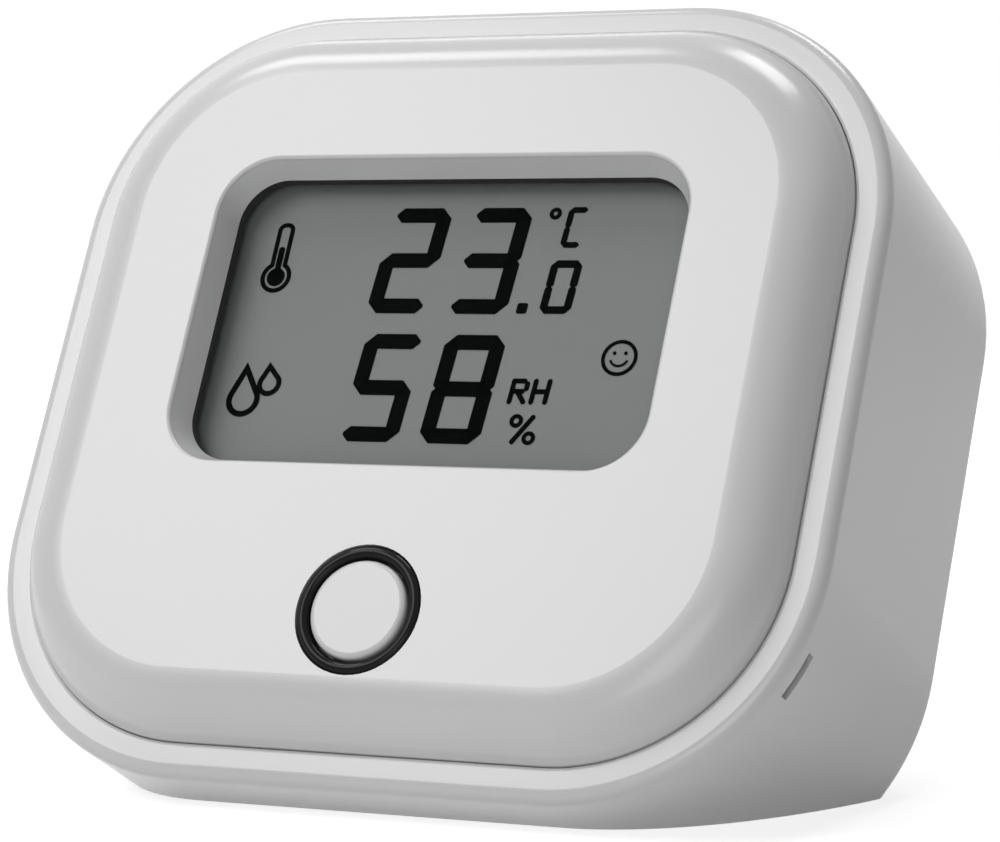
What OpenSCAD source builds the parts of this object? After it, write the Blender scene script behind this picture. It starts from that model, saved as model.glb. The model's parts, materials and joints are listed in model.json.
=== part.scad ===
// Free-standing temperature and humidity sensor: a soft-cornered prism that leans back on a flat cut base.
// Local face frame: x across the face, y up the face, z out of the face, with zero on the rim plane.

/* [Housing] */
// Overall width across the face
body_w = 75; // [67:0.5:84]
// Overall height measured up the face
body_h = 70.6; // [69:0.2:78]
// Depth of the housing behind the rim plane
body_d = 27.9; // [27.5:0.1:34]
// Corner radius of the outline
corner_r = 21; // [17:0.5:23]
// Lean of the face from upright, in degrees
tilt = 27; // [24:0.5:29]
// Distance from the lower rim edge to the base plane, along the face
base_drop = 3.25; // [2.6:0.05:4.5]
// Thickness of the housing wall, seen from the front as the rim
rim_w = 2.95; // [2.55:0.1:3.35]
// Rounding of the outer rim edge
rim_edge_r = 1.1; // [0.8:0.1:1.3]
// Rounding of the inner rim edge
rim_in_r = 0.4; // [0.2:0.1:0.8]
// Rounding of the back edge
back_edge_r = 1.5; // [0.8:0.1:2.0]
// Thickness of the back wall
back_wall = 2.4; // [2.3:0.1:2.8]
// Thickness of the base wall
base_wall = 2.4; // [1.8:0.1:2.8]
// Length of the air slit in each lower corner
slit_len = 4; // [3:0.5:7]
// Height of the air slit
slit_h = 1.0; // [0.6:0.1:1.4]
// Distance of the air slit behind the rim plane
slit_depth = 2.6; // [2.2:0.1:3.2]
// Turn of the air slit round its corner, in degrees below level
slit_angle = 24.5; // [18:0.5:32]

/* [Front cover] */
// Height of the cover face above the rim plane
cover_rise = 4.1; // [3.6:0.1:4.6]
// Radius of the cover's rounded edge, which meets the rim plane a little short of upright
roll_r = 5.1; // [4.7:0.1:5.5]
// Wall thickness of the cover
cover_wall = 2.0; // [1.6:0.1:2.2]
// Seam between cover and rim
cover_gap = 0.05; // [0.04:0.01:0.15]
// Length of the cover's skirt behind the rim plane
skirt_len = 4; // [3.6:0.1:4.6]

/* [Display] */
// Width of the opening at the face
display_w = 43.8; // [40:0.2:45]
// Height of the opening at the face
display_h = 27.9; // [25:0.1:29]
// Corner radius of the opening at the face
display_corner_r = 5; // [3.5:0.1:6]
// Height of the opening's centre above the middle of the face
display_v = 4.95; // [4:0.05:5.2]
// Slope of the opening's walls, in plan
display_slope = 0.9; // [0.5:0.1:1.2]
// Depth of the foam gasket around the glass
gasket_t = 0.9; // [0.7:0.1:1.2]
// Thickness of the clear window
window_t = 0.8; // [0.6:0.1:1.0]
// Thickness of each display glass
glass_t = 1.1; // [0.7:0.1:1.1]

/* [Button] */
// Radius of the button cap
button_r = 4.25; // [3.6:0.05:4.5]
// Width of the trim ring around the button
button_ring_w = 1.15; // [0.9:0.05:1.3]
// Distance of the button below the middle of the face
button_drop = 21.6; // [20.5:0.1:22.4]
// Travel of the button
button_travel = 0.5; // [0.3:0.05:0.6]

/* [Circuit board] */
// Thickness of the board
board_t = 1.6; // [1.0:0.2:2.0]
// Space between display and board
board_gap = 5.3; // [5.0:0.1:5.5]
// Corner radius of the board
board_corner_r = 9; // [8:0.5:10]

/* [Power] */
// Radius of a cell
cell_r = 5.25; // [5.1:0.05:5.25]
// Length of a cell with its terminal
cell_len = 44.5; // [43.5:0.1:44.8]
// Thickness of the battery door
door_t = 1.8; // [1.6:0.05:1.9]
// Running clearance of the door in its rails
door_gap = 0.15; // [0.1:0.01:0.25]

/* [Hidden] */
$fn = 96;
sin_t = sin(tilt);
cos_t = cos(tilt);
tan_t = tan(tilt);
half_w = body_w / 2;
half_h = body_h / 2;
big = 300;
// how far a cut runs past the face that it opens, and how far joined features run into one another
over = 1;
fuse = 0.2;
// clearances of running fits, of seated parts and of parts that pass one another
slip = 0.15;
seat = 0.05;
clear = 0.3;

// cover
cover_inset = rim_w + cover_gap;
cover_w = body_w - 2 * cover_inset;
cover_h = body_h - 2 * cover_inset;
cover_r = corner_r - cover_inset;
roll_n = cover_rise - roll_r;
roll_w = sqrt(pow(roll_r, 2) - pow(roll_n, 2));
roll_in_r = cover_rise - cover_wall;
cover_in = cover_rise - cover_wall;
skirt_n = -skirt_len;
hook_u = 14;
hook_w = 8;
hook_len = 2.6;
hook_nib = 0.9;
hook_nib_h = 1.2;
hook_n = skirt_n - hook_len;

// the origin lies under the middle of the box around the whole sensor
back_y = (half_h - back_edge_r) * sin_t + (body_d - back_edge_r) * cos_t + back_edge_r;
front_y = -((half_h - cover_inset - roll_w) * sin_t + roll_n * cos_t + roll_r);
face_y = -(back_y + front_y) / 2;
face_z = (half_h + base_drop) * cos_t;

// stack behind the display opening
display_edge_r = 0.35;
lip_t = 0.4;
lip_w = 1.1;
lip_n = cover_in - lip_t;
gasket_n = lip_n - gasket_t;
window_n = gasket_n - window_t;
window_gap = 0.1;
film_t = 0.2;
film_edge = 0.5;
polariser_top = window_n - window_gap;
polariser_n = polariser_top - film_t;
glass_front_n = polariser_n - glass_t;
glass_rear_n = glass_front_n - glass_t;
reflector_n = glass_rear_n - film_t;
pane_lap_u = 2.2;
pane_lap_v = 1.8;
pane_corner_r = 3.5;
pane_w = display_w + 2 * pane_lap_u;
pane_h = display_h + 2 * pane_lap_v;
glass_lap_u = 1.5;
contact_ledge = 2.55;
glass_w = display_w + 2 * glass_lap_u;
glass_h = display_h + 2 * contact_ledge;
rear_glass_h = glass_h - 2 * contact_ledge - clear;
zebra_w = 2.2;
zebra_edge = 0.2;
zebra_v = glass_h / 2 - zebra_edge - zebra_w / 2;
zebra_end = 1;
zebra_fit = 0.1;
zebra_len = glass_w - 2 * zebra_end;
frame_wall_u = 1.5;
frame_wall_v = 0.9;
frame_ledge = 3.4;
frame_rib = 3.1;
frame_w = glass_w + 2 * frame_wall_u;
frame_h = glass_h + 2 * frame_wall_v;
frame_top = display_v + frame_h / 2;
frame_low = display_v - frame_h / 2;

// board, its bosses and screws
board_front = reflector_n - board_gap;
board_back = board_front - board_t;
board_top = frame_top - slip;
board_low_gap = 7.3;
board_low = -half_h + board_low_gap;
boss_r = 2.2;
board_screw_head_r = 1.9;
board_screw_head_h = 1.3;
board_screw_r = 0.96;
board_screw_len = 6;
board_hole_r = 1.1;
pilot_r = 1.0;
pilot_len = 5.5;
boss_edge = 2.3;
board_boss_u = frame_w / 2 + slip + boss_r;
board_boss_rise = 7.05;
board_boss_v = display_v + board_boss_rise;
low_boss_u = 22;
low_boss_rise = 7;
low_boss_v = board_low + low_boss_rise;
board_w = 2 * (board_boss_u + boss_edge);

// posts and screws that close the case
case_boss_u = 18;
case_boss_r = 3;
case_post_r = 4.2;
case_boss_v = board_top + case_post_r + clear;
case_join_depth = 6;
case_join_n = -case_join_depth;
case_head_depth = 12;
case_head_n = -case_head_depth;
case_screw_head_r = 2.6;
case_screw_head_h = 1.8;
case_screw_r = 1.25;
case_screw_len = 12;
case_hole_r = 1.6;
case_pilot_r = 1.3;
case_pilot_len = 7;

// button and switch
button_proud = 0.2;
button_edge_r = 0.5;
ring_proud = 0.15;
ring_fit = 0.03;
ring_bore = button_r + slip;
ring_r = ring_bore + button_ring_w;
flange_lap = 0.1;
flange_t = 1.3;
flange_r = ring_r - flange_lap;
sleeve_r = flange_r + clear;
sleeve_wall = 1.25;
sleeve_len = 3.6;
stem_r = 1.6;
switch_w = 6;
switch_h = 3.5;
switch_well = 2;
switch_top = board_front + switch_h;
plunger_r = 1.75;
plunger_rise = 1;
plunger_deep = switch_well - button_travel - fuse;
plunger_top = switch_top + plunger_rise;

// parts on the board: the sensor beside the display, the rest on the back
sensor_w = 3;
sensor_t = 1.1;
sensor_edge = 1.1;
sensor_gap = 0.6;
sensor_port_r = 0.6;
sensor_port_deep = 0.5;
filter_r = 1.3;
filter_t = 0.25;
sensor_u = board_w / 2 - sensor_edge - sensor_w;
sensor_v = frame_low - sensor_gap - sensor_w;
radio_w = 14;
radio_t = 0.8;
radio_edge = 8.6;
radio_drop = 20.25;
radio_u = -board_w / 2 + radio_edge;
radio_v = board_top - radio_drop;
shield_w = 12;
shield_h = 10;
shield_t = 2;
shield_wall = 0.3;
shield_edge = 1;
antenna_len = 30;
antenna_w = 3;
antenna_t = 0.4;
antenna_rise = 5;
antenna_edge = 3.6;
antenna_drop = 4.75;
antenna_leg_pitch = 6;
antenna_u = -board_w / 2 + antenna_edge;
antenna_v = board_top - antenna_drop;
chip_w = 9;
chip_t = 1.4;
chip_u = 4;
chip_drop = 19.25;
chip_v = board_top - chip_drop;
crystal_w = 5;
crystal_h = 3.2;
crystal_t = 1.2;
crystal_gap = 1.4;
capacitor_r = 3.15;
capacitor_h = 7;
capacitor_edge = 10.6;
capacitor_drop = 11.25;
capacitor_u = board_w / 2 - capacitor_edge;
capacitor_v = board_top - capacitor_drop;
chip_part_l = 2;
chip_part_w = 1.2;
chip_part_t = 0.7;
chip_part_row = 4;
chip_part_column = 3;
chip_part_offset = 8;
chip_part_drop = 5.4;

// battery bay, door and contacts
door_in = -body_d + door_t;
door_play = 0.1;
door_base_gap = 0.4;
door_lap = 2.5;
door_side = 1.4;
rail_w = 1;
rail_t = 0.8;
rail_cover = 0.7;
rail_n = -body_d + rail_cover;
grip_count = 5;
grip_w = 16;
grip_h = 0.9;
grip_deep = 0.5;
grip_pitch = 1.8;
grip_drop = 4;
cell_gap = 0.4;
cell_edge_r = 0.6;
nub_len = 1;
nub_r = 1.9;
cell_n = door_in + clear + cell_r;
cell_pitch = 2 * cell_r + cell_gap;
wall_rise = -half_h - base_drop + base_wall / cos_t;
cell_v1 = wall_rise + (body_d - door_t) * tan_t + cell_r + clear;
cell_v2 = cell_v1 + cell_pitch;
bay_end = 3.75;
bay_wall = 1.4;
bay_half = cell_len / 2 + bay_end;
bay_floor = cell_n + cell_r + clear;
bay_low = cell_v1 - cell_r - clear;
bay_top = cell_v2 + cell_r + clear;
door_top = bay_top + door_lap;
door_half = bay_half + door_side;
plate_t = 0.4;
plate_w = 8;
plate_lift = 1;
tab_w = 4;
tab_fit = 0.1;
plate_in = bay_half - plate_t;
plate_h = bay_floor - door_in - plate_lift - clear;
cell_neg = plate_in - cell_len;
wire_r = 0.3;
spring_wide_r = 3.8;
spring_narrow_r = 2.3;
spring_turns = 3;
spring_len = plate_in + cell_neg - 2 * wire_r;

// Places the face frame in the world, leaning back above the base plane
module face_frame() {
  translate([0, face_y, face_z]) rotate([90 - tilt, 0, 0]) children();
}

// Everything above a height in the world
module above(z) {
  translate([-big / 2, -big / 2, z]) cube(big);
}

// A quarter of a disc in the first quadrant
module quarter(r) {
  intersection() {
    circle(r);
    square(r + over);
  }
}

// A rounded rectangle made of rectangles and quarter discs that meet edge to edge
module rounded(w, h, r) {
  square([w, h - 2 * r], center = true);
  for (s = [-1, 1]) {
    translate([0, s * (h / 2 - r / 2)]) square([w - 2 * r, r], center = true);
  }
  for (q = [0:3]) {
    translate([(q == 0 || q == 3 ? 1 : -1) * (w / 2 - r), (q < 2 ? 1 : -1) * (h / 2 - r)])
      rotate(90 * q) quarter(r);
  }
}

// A prism of that outline between two levels
module slab(w, h, r, n0, n1) {
  translate([0, 0, n0]) linear_extrude(n1 - n0) rounded(w, h, r);
}

// A box centred on the face's axes between two levels
module box(w, h, n0, n1) {
  translate([-w / 2, -h / 2, n0]) cube([w, h, n1 - n0]);
}

// Takes a profile round a rounded rectangle: profile x runs outwards from the corner's centre
module around(w, h, r) {
  for (q = [0:3]) {
    translate([(q == 0 || q == 3 ? 1 : -1) * (w / 2 - r), (q < 2 ? 1 : -1) * (h / 2 - r), 0])
      rotate([0, 0, 90 * q]) rotate_extrude(angle = 90) children();
  }
  for (s = [0, 180]) {
    rotate([0, 0, s]) translate([w / 2 - r, h / 2 - r, 0])
      rotate([90, 0, 0]) linear_extrude(h - 2 * r) children();
    rotate([0, 0, s + 90]) translate([h / 2 - r, w / 2 - r, 0])
      rotate([90, 0, 0]) linear_extrude(w - 2 * r) children();
  }
}

// Fills the middle that the profile leaves
module middle(w, h, r, n0, n1) {
  box(w - 2 * r, h - 2 * r, n0, n1);
}

// The four places where the board is screwed to the cover
module at_board_bosses(n) {
  for (s = [-1, 1]) {
    translate([s * board_boss_u, board_boss_v, n]) children();
    translate([s * low_boss_u, low_boss_v, n]) children();
  }
}

// The two places where the case is screwed together
module at_case_bosses(n) {
  for (s = [-1, 1]) {
    translate([s * case_boss_u, case_boss_v, n]) children();
  }
}

// The air slit's place on each lower corner: x runs outwards, y along the corner's wall
module at_slits() {
  for (s = [-1, 1]) {
    translate([s * (half_w - corner_r), -half_h + corner_r, 0])
      rotate([0, 0, s > 0 ? -slit_angle : 180 + slit_angle]) children();
  }
}

// Section of the housing, with rounded rim and back edges
module housing_profile() {
  polygon([[0, -body_d], [corner_r - back_edge_r, -body_d],
    [corner_r - back_edge_r, -body_d + back_edge_r], [corner_r, -body_d + back_edge_r],
    [corner_r, -rim_edge_r], [corner_r - rim_edge_r, -rim_edge_r],
    [corner_r - rim_edge_r, 0], [0, 0]]);
  translate([corner_r - rim_edge_r, -rim_edge_r]) quarter(rim_edge_r);
  translate([corner_r - back_edge_r, -body_d + back_edge_r]) mirror([0, 1]) quarter(back_edge_r);
}

module housing_block() {
  around(body_w, body_h, corner_r) housing_profile();
  middle(body_w, body_h, corner_r, -body_d, 0);
}

// The hollow of the housing, flared at the rounded inner edge of the rim
module housing_cavity() {
  w = body_w - 2 * rim_w;
  h = body_h - 2 * rim_w;
  r = corner_r - rim_w;
  e = rim_in_r;
  slab(w, h, r, -body_d + back_wall, over);
  around(w, h, r) difference() {
    translate([r - fuse, -e]) square([e + fuse, e + over]);
    translate([r + e, -e]) circle(e);
  }
}

// Battery bay walls and the two screw posts
module housing_inside() {
  root = -body_d + back_wall / 2;
  translate([0, (bay_low + bay_top) / 2, 0])
    box(2 * (bay_half + bay_wall), bay_top - bay_low + 2 * bay_wall, root, bay_floor + bay_wall);
  at_case_bosses(root) cylinder(r = case_post_r, h = case_join_n - root);
}

module bay_pocket() {
  translate([0, (bay_low + bay_top) / 2, 0])
    box(2 * bay_half, bay_top - bay_low, door_in - over, bay_floor);
}

// Room for the door and its tongues, open at the base
module door_pocket() {
  top = door_top + door_gap;
  translate([-door_half - door_gap, -big / 2, -body_d - over])
    cube([2 * (door_half + door_gap), big / 2 + top, door_t + over]);
  translate([-door_half - rail_w - 2 * door_gap, -big / 2, rail_n - door_gap])
    cube([2 * (door_half + rail_w + 2 * door_gap), big / 2 + top, rail_t + 2 * door_gap]);
}

module hook_pockets() {
  deep = hook_nib + clear;
  for (s = [-1, 1]) {
    translate([s * hook_u - hook_w / 2 - clear, -cover_h / 2 - deep, hook_n - fuse])
      cube([hook_w + 2 * clear, deep + over, hook_nib_h + 2 * fuse]);
  }
}

module housing_cuts() {
  door_pocket();
  hook_pockets();
  at_case_bosses(-body_d - over) cylinder(r = case_boss_r, h = case_head_n + body_d + over);
  at_case_bosses(case_head_n - over) cylinder(r = case_hole_r, h = case_join_n - case_head_n + 2 * over);
  at_slits() translate([corner_r - rim_w - over, -slit_len / 2, -slit_depth - slit_h / 2])
    cube([rim_w + 2 * over, slit_len, slit_h]);
  // slots for the contact tabs in the bay floor
  for (v = [cell_v1, cell_v2]) {
    translate([plate_in - tab_fit, v - tab_w / 2 - fuse, bay_floor - over])
      cube([plate_t + 2 * tab_fit, tab_w + 2 * fuse, bay_wall + 2 * over]);
  }
}

module rear_housing() {
  color([0.9, 0.9, 0.89]) difference() {
    union() {
      difference() {
        intersection() {
          face_frame() housing_block();
          above(0);
        }
        intersection() {
          face_frame() housing_cavity();
          above(base_wall);
        }
      }
      intersection() {
        face_frame() housing_inside();
        above(base_wall / 2);
      }
    }
    intersection() {
      face_frame() bay_pocket();
      above(base_wall);
    }
    face_frame() housing_cuts();
  }
}

// Section of the cover: flat face, rounded edge and the skirt behind the rim
module cover_profile() {
  x0 = cover_r - roll_w;
  x1 = cover_r - cover_rise;
  difference() {
    union() {
      intersection() {
        translate([x0, roll_n]) circle(roll_r);
        translate([x0, 0]) square(roll_r + over);
      }
      polygon([[0, cover_in], [x0, cover_in], [x0, cover_rise], [0, cover_rise]]);
      polygon([[cover_r - cover_wall, skirt_n], [cover_r, skirt_n], [cover_r, 0], [cover_r - cover_wall, 0]]);
    }
    translate([x1, 0]) circle(roll_in_r);
    square([x1, cover_in]);
  }
}

// The display opening as a solid: sloped walls and a rounded front edge
module display_cut() {
  r = display_corner_r;
  e = display_edge_r;
  translate([0, display_v, 0]) {
    around(display_w, display_h, r) {
      polygon([[0, lip_n - over], [r - display_slope, lip_n - over], [r - display_slope, lip_n],
        [r, cover_rise - e], [r, cover_rise], [r + e, cover_rise], [r + e, cover_rise + over],
        [0, cover_rise + over]]);
      difference() {
        translate([r, cover_rise - e]) square(e);
        translate([r + e, cover_rise - e]) circle(e);
      }
    }
    middle(display_w, display_h, r, lip_n - over, cover_rise + over);
  }
}

// Hook under the lower wall, with a nib that snaps into the housing
module cover_hooks() {
  for (s = [-1, 1]) {
    translate([s * hook_u - hook_w / 2, -cover_h / 2, hook_n])
      cube([hook_w, cover_wall, hook_len + over]);
    translate([s * hook_u - hook_w / 2, -cover_h / 2 - hook_nib, hook_n])
      cube([hook_w, hook_nib + fuse, hook_nib_h]);
  }
}

module cover_shell() {
  around(cover_w, cover_h, cover_r) cover_profile();
  middle(cover_w, cover_h, cover_r, cover_in, cover_rise);
  // lip around the display opening
  translate([0, display_v, 0])
    slab(display_w + 2 * lip_w, display_h + 2 * lip_w, display_corner_r + lip_w, lip_n, cover_in + fuse);
  // guide sleeve of the button
  translate([0, -button_drop, cover_in - sleeve_len])
    cylinder(r = sleeve_r + sleeve_wall, h = sleeve_len + fuse);
  at_board_bosses(board_front) cylinder(r = boss_r, h = cover_in - board_front + fuse);
  at_case_bosses(case_join_n) cylinder(r = case_boss_r, h = cover_in - case_join_n + fuse);
  cover_hooks();
}

module front_cover() {
  notch_top = -slit_depth + slit_h / 2 + slip;
  color([0.93, 0.93, 0.92]) face_frame() difference() {
    cover_shell();
    display_cut();
    translate([0, -button_drop, cover_in - sleeve_len - over]) cylinder(r = sleeve_r, h = sleeve_len + over);
    translate([0, -button_drop, cover_in - over]) cylinder(r = ring_r + ring_fit, h = cover_wall + 2 * over);
    at_board_bosses(board_front - over) cylinder(r = pilot_r, h = pilot_len + over);
    at_case_bosses(case_join_n - over) cylinder(r = case_pilot_r, h = case_pilot_len + over);
    // notch that lets the air of the slit through the skirt
    at_slits() translate([cover_r - cover_wall - over, -slit_len / 2 - over, skirt_n - over])
      cube([cover_wall + 2 * over, slit_len + 2 * over, notch_top - skirt_n + over]);
  }
}

module display_gasket() {
  color([0.06, 0.06, 0.06]) face_frame() translate([0, display_v, gasket_n]) linear_extrude(gasket_t)
    difference() {
      rounded(pane_w, pane_h, pane_corner_r);
      rounded(display_w - 2 * display_slope, display_h - 2 * display_slope, display_corner_r - display_slope);
    }
}

module display_window() {
  color([0.8, 0.85, 0.85, 0.4]) face_frame() translate([0, display_v, 0])
    slab(pane_w, pane_h, pane_corner_r, window_n, gasket_n);
}

module lcd_front_polariser() {
  color([0.5, 0.52, 0.51]) face_frame() translate([0, display_v, 0])
    box(glass_w - 2 * film_edge, display_h, polariser_n, polariser_top);
}

module lcd_front_glass() {
  color([0.7, 0.76, 0.75]) face_frame() translate([0, display_v, 0])
    box(glass_w, glass_h, glass_front_n, polariser_n);
}

module lcd_rear_glass() {
  color([0.7, 0.76, 0.75]) face_frame() translate([0, display_v, 0])
    box(glass_w, rear_glass_h, glass_rear_n, glass_front_n);
}

module lcd_reflector() {
  color([0.75, 0.75, 0.72]) face_frame() translate([0, display_v, 0])
    box(glass_w - 2 * film_edge, rear_glass_h - 2 * film_edge, reflector_n, glass_rear_n);
}

// Holds the glass and both contact strips square to the board, and carries the window on its rim
module display_frame() {
  color([0.86, 0.86, 0.84]) face_frame() translate([0, display_v, 0]) difference() {
    box(frame_w, frame_h, board_front, window_n);
    box(glass_w + 2 * slip, glass_h + 2 * slip, reflector_n, window_n + over);
    box(glass_w - 2 * frame_ledge, 2 * (zebra_v - zebra_w / 2 - frame_rib), board_front - over, window_n);
    for (s = [-1, 1]) {
      translate([0, s * zebra_v, 0])
        box(zebra_len + 2 * zebra_fit, zebra_w + 2 * zebra_fit, board_front - over, window_n);
    }
  }
}

module zebra_strip(s) {
  face_frame() translate([0, display_v + s * zebra_v, 0]) box(zebra_len, zebra_w, board_front, glass_front_n);
}

module zebra_strip_upper() {
  color([0.85, 0.6, 0.65]) zebra_strip(1);
}

module zebra_strip_lower() {
  color([0.85, 0.6, 0.65]) zebra_strip(-1);
}

module circuit_board() {
  color([0.1, 0.35, 0.2]) face_frame() difference() {
    translate([0, (board_top + board_low) / 2, 0])
      slab(board_w, board_top - board_low, board_corner_r, board_back, board_front);
    at_board_bosses(board_back - over) cylinder(r = board_hole_r, h = board_t + 2 * over);
  }
}

// A pan-head screw with a cross slot, its head below zero and its shank above
module pan_screw(head_r, head_h, shank_r, shank_len) {
  slot_l = 1.3 * head_r;
  slot_w = 0.28 * head_r;
  difference() {
    union() {
      translate([0, 0, -head_h]) cylinder(r = head_r, h = head_h);
      cylinder(r = shank_r, h = shank_len);
    }
    box(slot_l, slot_w, -head_h - over, -head_h / 2);
    box(slot_w, slot_l, -head_h - over, -head_h / 2);
  }
}

module board_screws() {
  color([0.65, 0.65, 0.66]) face_frame() at_board_bosses(board_back)
    pan_screw(board_screw_head_r, board_screw_head_h, board_screw_r, board_screw_len);
}

module case_screws() {
  color([0.65, 0.65, 0.66]) face_frame() at_case_bosses(case_head_n)
    pan_screw(case_screw_head_r, case_screw_head_h, case_screw_r, case_screw_len);
}

// Cap with a softly rounded top, a flange behind the cover and a stem for the switch
module button_cap() {
  top = cover_rise + button_proud;
  e = button_edge_r;
  flange_top = cover_in - fuse;
  flange_low = flange_top - flange_t;
  stem_low = plunger_top + seat;
  color([0.93, 0.93, 0.92]) face_frame() translate([0, -button_drop, 0]) rotate_extrude() {
    polygon([[0, stem_low], [stem_r, stem_low], [stem_r, flange_low], [flange_r, flange_low],
      [flange_r, flange_top], [button_r, flange_top], [button_r, top - e], [button_r - e, top - e],
      [button_r - e, top], [0, top]]);
    translate([button_r - e, top - e]) quarter(e);
  }
}

// Trim ring pressed into the cover, with a half-round crown
module button_ring() {
  crown = button_ring_w / 2;
  mid = ring_bore + crown;
  base = cover_rise - crown + ring_proud;
  color([0.12, 0.12, 0.13]) face_frame() translate([0, -button_drop, 0]) rotate_extrude() {
    translate([ring_bore, cover_in]) square([button_ring_w, base - cover_in]);
    translate([mid, base]) quarter(crown);
    translate([mid, base]) mirror([1, 0]) quarter(crown);
  }
}

module switch_body() {
  color([0.1, 0.1, 0.1]) face_frame() translate([0, -button_drop, 0]) difference() {
    box(switch_w, switch_w, board_front, switch_top);
    translate([0, 0, switch_top - switch_well]) cylinder(r = plunger_r + slip, h = switch_well + over);
  }
}

module switch_plunger() {
  color([0.75, 0.7, 0.6]) face_frame() translate([0, -button_drop, switch_top - plunger_deep])
    cylinder(r = plunger_r, h = plunger_rise + plunger_deep);
}

module humidity_sensor() {
  color([0.15, 0.15, 0.16]) face_frame() translate([sensor_u, sensor_v, board_front]) difference() {
    cube([sensor_w, sensor_w, sensor_t]);
    translate([sensor_w / 2, sensor_w / 2, sensor_t - sensor_port_deep])
      cylinder(r = sensor_port_r, h = sensor_port_deep + over);
  }
}

module sensor_filter() {
  color([0.95, 0.95, 0.95]) face_frame()
    translate([sensor_u + sensor_w / 2, sensor_v + sensor_w / 2, board_front + sensor_t])
      cylinder(r = filter_r, h = filter_t);
}

// Places a part on the back of the board, growing away from it
module on_board_back(u, v) {
  face_frame() translate([u, v, board_back]) mirror([0, 0, 1]) children();
}

module radio_board() {
  color([0.1, 0.25, 0.4]) on_board_back(radio_u, radio_v) cube([radio_w, radio_w, radio_t]);
}

// Can over the radio chip, open towards the radio board
module radio_shield() {
  color([0.75, 0.75, 0.76]) on_board_back(radio_u + shield_edge, radio_v + shield_edge)
    translate([0, 0, radio_t]) difference() {
      cube([shield_w, shield_h, shield_t]);
      translate([shield_wall, shield_wall, -over])
        cube([shield_w - 2 * shield_wall, shield_h - 2 * shield_wall, shield_t - shield_wall + over]);
    }
}

// Stamped strip with a feed leg and a ground leg
module antenna() {
  color([0.8, 0.7, 0.4]) on_board_back(antenna_u, antenna_v) {
    translate([0, 0, antenna_rise - antenna_t]) cube([antenna_len, antenna_w, antenna_t]);
    for (u = [0, antenna_leg_pitch]) {
      translate([u, 0, 0]) cube([antenna_t, antenna_w, antenna_rise]);
    }
  }
}

module microcontroller() {
  color([0.1, 0.1, 0.11]) on_board_back(chip_u, chip_v) cube([chip_w, chip_w, chip_t]);
}

module quartz_crystal() {
  color([0.78, 0.78, 0.76]) on_board_back(chip_u, chip_v + chip_w + crystal_gap)
    cube([crystal_w, crystal_h, crystal_t]);
}

module capacitor() {
  color([0.2, 0.2, 0.26]) on_board_back(capacitor_u, capacitor_v) cylinder(r = capacitor_r, h = capacitor_h);
}

// Small resistors and capacitors: a row below the chip and a column beside it
module chip_parts() {
  color([0.55, 0.5, 0.42]) {
    for (i = [0:4]) {
      on_board_back(chip_u - chip_part_offset + chip_part_row * i, chip_v - chip_part_drop)
        cube([chip_part_l, chip_part_w, chip_part_t]);
    }
    for (i = [0:2]) {
      on_board_back(chip_u - chip_part_offset, chip_v + chip_part_column * i)
        cube([chip_part_w, chip_part_l, chip_part_t]);
    }
  }
}

// A cell along x with its terminal at the positive end
module cell() {
  e = cell_edge_r;
  shoulder = cell_len - nub_len;
  rotate([0, 90, 0]) rotate_extrude() {
    polygon([[0, 0], [cell_r - e, 0], [cell_r - e, e], [cell_r, e], [cell_r, shoulder - e],
      [cell_r - e, shoulder - e], [cell_r - e, shoulder], [nub_r, shoulder], [nub_r, cell_len],
      [0, cell_len]]);
    translate([cell_r - e, shoulder - e]) quarter(e);
    translate([cell_r - e, e]) mirror([0, 1]) quarter(e);
  }
}

module battery_upper() {
  color([0.2, 0.22, 0.25]) face_frame() translate([cell_neg, cell_v2, cell_n]) cell();
}

module battery_lower() {
  color([0.2, 0.22, 0.25]) face_frame() translate([-cell_neg, cell_v1, cell_n]) rotate([0, 0, 180]) cell();
}

// Sliding door: plate between the rails, tongues at both sides and grip grooves near its upper edge
module battery_door() {
  color([0.9, 0.9, 0.89]) intersection() {
    face_frame() difference() {
      union() {
        translate([-door_half, -half_h, -body_d])
          cube([2 * door_half, half_h + door_top, door_t - door_play]);
        translate([-door_half - rail_w, -half_h, rail_n])
          cube([2 * (door_half + rail_w), half_h + door_top, rail_t]);
      }
      for (i = [0:grip_count - 1]) {
        translate([-grip_w / 2, door_top - grip_drop - grip_pitch * i, -body_d - over])
          cube([grip_w, grip_h, grip_deep + over]);
      }
    }
    above(door_base_gap);
  }
}

// Flat contact with a tab that reaches the board
module end_contact(v) {
  translate([plate_in, v - plate_w / 2, door_in + plate_lift]) cube([plate_t, plate_w, plate_h]);
  translate([plate_in, v - tab_w / 2, bay_floor - tab_w / 2])
    cube([plate_t, tab_w, board_back - bay_floor + tab_w / 2]);
}

module contact_positive() {
  color([0.78, 0.78, 0.76]) face_frame() end_contact(cell_v2);
}

module contact_negative() {
  color([0.78, 0.78, 0.76]) face_frame() end_contact(cell_v1);
}

module contact_link() {
  color([0.78, 0.78, 0.76]) face_frame()
    translate([-bay_half, cell_v1 - plate_w / 2, door_in + plate_lift])
      cube([plate_t, cell_pitch + plate_w, plate_h]);
}

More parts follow.
